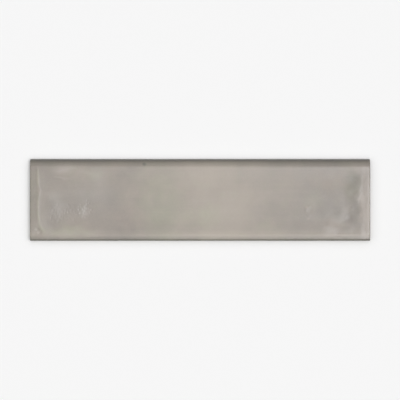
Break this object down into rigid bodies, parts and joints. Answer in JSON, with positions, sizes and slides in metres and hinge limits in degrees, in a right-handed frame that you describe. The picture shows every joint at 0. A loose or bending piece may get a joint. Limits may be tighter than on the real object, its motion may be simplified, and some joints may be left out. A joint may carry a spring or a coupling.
{
  "type": "bullnose tile",
  "caption": "Glazed ceramic wall tile with one long edge rounded over, used to finish an exposed tile edge; keyed back for adhesive.",
  "frame": {"origin": "middle of the back, at the level that the ribs of the back rest on", "axes": "+X along the tile, +Y across it towards the rounded long edge, +Z out of the glazed face"},
  "size_m": [0.3, 0.072, 0.009],
  "materials": {
    "glazed_tile": "satin"
  },
  "bodies": {
    "root": {"bullnose_tile": "glazed_tile"}
  },
  "joints": []
}
